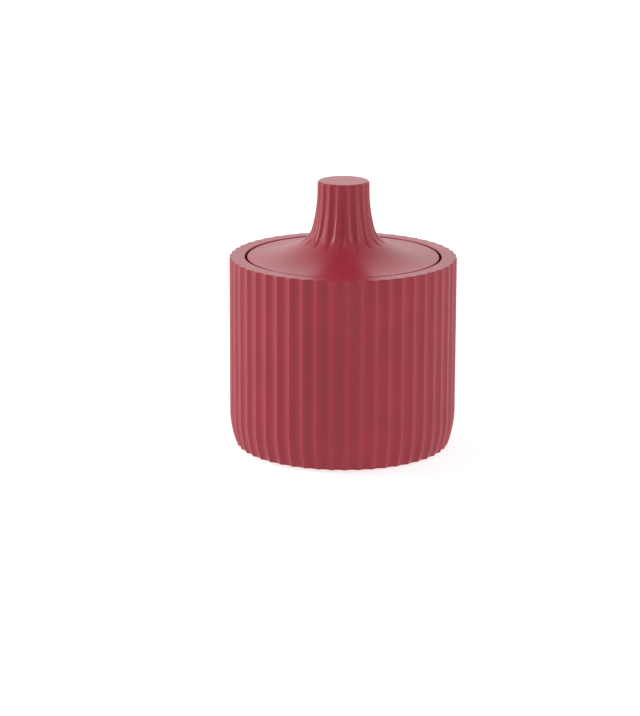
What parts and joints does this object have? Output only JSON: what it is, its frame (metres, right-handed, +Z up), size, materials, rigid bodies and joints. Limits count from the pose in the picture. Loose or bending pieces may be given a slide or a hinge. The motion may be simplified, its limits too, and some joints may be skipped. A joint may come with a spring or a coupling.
{
  "type": "cotton pad holder",
  "caption": "Round fluted cast jar for cotton pads, with a drop-in lid that rises in a smooth flare to a tall fluted knob, standing on soft foot pads.",
  "frame": {"origin": "on the table, under the middle of the pot", "axes": "+Z up along the jar's axis, -Y to the front, +X to the right seen from the front"},
  "size_m": [0.0998, 0.1, 0.119],
  "materials": {
    "resin": "satin, coloured through",
    "foot": "soft matte"
  },
  "bodies": {
    "pot": {"pot": "resin", "foot_pad_1": "foot", "foot_pad_2": "foot", "foot_pad_3": "foot", "foot_pad_4": "foot"},
    "lid": {"lid": "resin"}
  },
  "joints": [
    {"name": "lid_lift", "type": "slide", "parent": "pot", "child": "lid", "axis": [0, 0, 1], "range_m": [0, 0.12]}
  ]
}
